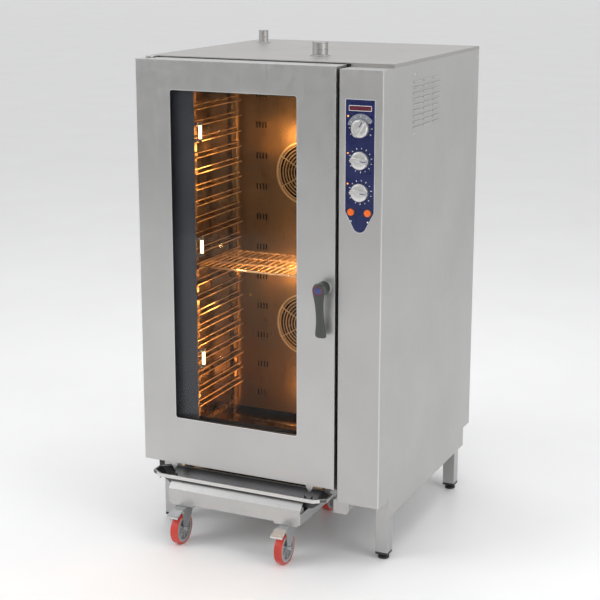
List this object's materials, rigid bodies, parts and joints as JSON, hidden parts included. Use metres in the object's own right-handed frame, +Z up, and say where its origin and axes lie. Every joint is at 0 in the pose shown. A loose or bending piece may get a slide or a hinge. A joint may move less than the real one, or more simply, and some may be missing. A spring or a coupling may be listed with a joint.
{
  "type": "roll-in combi steamer oven",
  "caption": "Tall steel combi steamer oven with a side-hinged glazed door, a rotary control column and a castored rack trolley parked in its chamber.",
  "frame": {"origin": "centre of the base of the overall box, on the floor", "axes": "+X to the right seen from the front, +Y from the door to the rear panel, +Z up"},
  "size_m": [1.016, 1.272, 1.956],
  "materials": {
    "cabinet_steel": "brushed",
    "frame_steel": "satin",
    "liner_steel": "satin",
    "door_steel": "brushed",
    "rack_steel": "satin",
    "trolley_steel": "brushed",
    "guard_steel": "satin",
    "fork_steel": "zinc plated",
    "foot_plastic": "matte",
    "gasket_rubber": "matte",
    "mineral_wool": "fibrous",
    "coil_steel": "oxidised",
    "motor_paint": "satin",
    "brass_fitting": "satin",
    "overlay_film": "semi-gloss",
    "switch_plastic": "matte",
    "lamp_lens": "translucent",
    "board_steel": "satin",
    "window_glass": "clear",
    "inner_window_glass": "clear",
    "lamp_shield": "satin",
    "lamp_tube": "frosted",
    "handle_plastic": "semi-gloss",
    "spindle_steel": "satin",
    "knob_metal": "satin",
    "button_plastic": "satin",
    "fan_steel": "satin",
    "hub_plastic": "satin",
    "tyre_red": "matte"
  },
  "bodies": {
    "cabinet": {"base_frame": "frame_steel", "levelling_feet": "foot_plastic", "side_panel_right": "cabinet_steel", "side_panel_left": "cabinet_steel", "rear_panel": "cabinet_steel", "top_cover": "cabinet_steel", "front_frame": "liner_steel", "door_gasket": "gasket_rubber", "cavity_liner": "liner_steel", "insulation": "mineral_wool", "fan_baffle": "liner_steel", "fan_guards": "guard_steel", "heating_coils": "coil_steel", "fan_motors": "motor_paint", "steam_generator": "frame_steel", "drain_pipe": "frame_steel", "vent_pipes": "cabinet_steel", "rear_connectors": "brass_fitting", "control_column": "cabinet_steel", "control_overlay": "overlay_film", "panel_switches": "switch_plastic", "indicator_lights": "lamp_lens", "electrical_board": "board_steel", "hinge_brackets": "frame_steel", "latch_strike": "frame_steel", "trolley_chassis": "trolley_steel", "trolley_seal_plate": "trolley_steel", "drip_trough": "trolley_steel", "rack_side_left": "rack_steel", "rack_side_right": "rack_steel", "rack_cross_frame": "rack_steel", "wire_shelf": "rack_steel", "rear_castor_forks": "fork_steel"},
    "door": {"door_outer_skin": "door_steel", "door_inner_frame": "liner_steel", "outer_glass": "window_glass", "inner_glass": "inner_window_glass", "lamp_column": "lamp_shield", "door_lamps": "lamp_tube"},
    "handle": {"door_handle": "handle_plastic", "latch_spindle": "spindle_steel"},
    "upper_fan": {"fan_wheel_upper": "fan_steel"},
    "lower_fan": {"fan_wheel_lower": "fan_steel"},
    "selector": {"selector_knob": "knob_metal"},
    "timer": {"timer_knob": "knob_metal"},
    "thermostat": {"thermostat_knob": "knob_metal"},
    "steam_push": {"steam_button": "button_plastic"},
    "light_push": {"light_button": "button_plastic"},
    "castor_left": {"castor_fork_left": "fork_steel"},
    "castor_right": {"castor_fork_right": "fork_steel"},
    "pedal_left": {"brake_pedal_left": "fork_steel"},
    "pedal_right": {"brake_pedal_right": "fork_steel"},
    "wheel_front_left": {"hub_front_left": "hub_plastic", "tyre_front_left": "tyre_red"},
    "wheel_front_right": {"hub_front_right": "hub_plastic", "tyre_front_right": "tyre_red"},
    "wheel_rear_left": {"hub_rear_left": "hub_plastic", "tyre_rear_left": "tyre_red"},
    "wheel_rear_right": {"hub_rear_right": "hub_plastic", "tyre_rear_right": "tyre_red"}
  },
  "joints": [
    {"name": "door_swing", "type": "hinge", "parent": "cabinet", "child": "door", "pos_m": [-0.486, -0.414, 1.098], "axis": [0, 0, -1], "range_deg": [0, 110]},
    {"name": "handle_turn", "type": "hinge", "parent": "door", "child": "handle", "pos_m": [0.277, -0.486, 1.086], "axis": [0, 1, 0], "range_deg": [-90, 90]},
    {"name": "upper_fan_spin", "type": "hinge", "parent": "cabinet", "child": "upper_fan", "pos_m": [-0.088, 0.234, 1.393], "axis": [0, 1, 0], "continuous": true},
    {"name": "lower_fan_spin", "type": "hinge", "parent": "cabinet", "child": "lower_fan", "pos_m": [-0.088, 0.234, 0.743], "axis": [0, 1, 0], "continuous": true},
    {"name": "selector_turn", "type": "hinge", "parent": "cabinet", "child": "selector", "pos_m": [0.417, -0.486, 1.683], "axis": [0, 1, 0], "range_deg": [0, 270]},
    {"name": "timer_turn", "type": "hinge", "parent": "cabinet", "child": "timer", "pos_m": [0.417, -0.486, 1.568], "axis": [0, 1, 0], "range_deg": [0, 300]},
    {"name": "thermostat_turn", "type": "hinge", "parent": "cabinet", "child": "thermostat", "pos_m": [0.417, -0.486, 1.452], "axis": [0, 1, 0], "range_deg": [0, 300]},
    {"name": "steam_press", "type": "slide", "parent": "cabinet", "child": "steam_push", "axis": [0, 1, 0], "range_m": [0, 0.003], "stiffness_N_per_m": 400},
    {"name": "light_press", "type": "slide", "parent": "cabinet", "child": "light_push", "axis": [0, 1, 0], "range_m": [0, 0.003], "stiffness_N_per_m": 400},
    {"name": "castor_swivel_left", "type": "hinge", "parent": "cabinet", "child": "castor_left", "pos_m": [-0.304, -0.524, 0.14], "axis": [0, 0, 1], "continuous": true},
    {"name": "castor_swivel_right", "type": "hinge", "parent": "cabinet", "child": "castor_right", "pos_m": [0.148, -0.524, 0.14], "axis": [0, 0, 1], "continuous": true},
    {"name": "brake_left", "type": "hinge", "parent": "castor_left", "child": "pedal_left", "pos_m": [-0.304, -0.578, 0.134], "axis": [1, 0, 0], "range_deg": [0, 14], "stiffness_Nm_per_rad": 0.6},
    {"name": "brake_right", "type": "hinge", "parent": "castor_right", "child": "pedal_right", "pos_m": [0.148, -0.578, 0.134], "axis": [1, 0, 0], "range_deg": [0, 14], "stiffness_Nm_per_rad": 0.6},
    {"name": "wheel_roll_front_left", "type": "hinge", "parent": "castor_left", "child": "wheel_front_left", "pos_m": [-0.304, -0.564, 0.0625], "axis": [1, 0, 0], "continuous": true},
    {"name": "wheel_roll_front_right", "type": "hinge", "parent": "castor_right", "child": "wheel_front_right", "pos_m": [0.148, -0.564, 0.0625], "axis": [1, 0, 0], "continuous": true},
    {"name": "wheel_roll_rear_left", "type": "hinge", "parent": "cabinet", "child": "wheel_rear_left", "pos_m": [-0.248, -0.006, 0.0625], "axis": [1, 0, 0], "continuous": true},
    {"name": "wheel_roll_rear_right", "type": "hinge", "parent": "cabinet", "child": "wheel_rear_right", "pos_m": [0.092, -0.006, 0.0625], "axis": [1, 0, 0], "continuous": true}
  ]
}
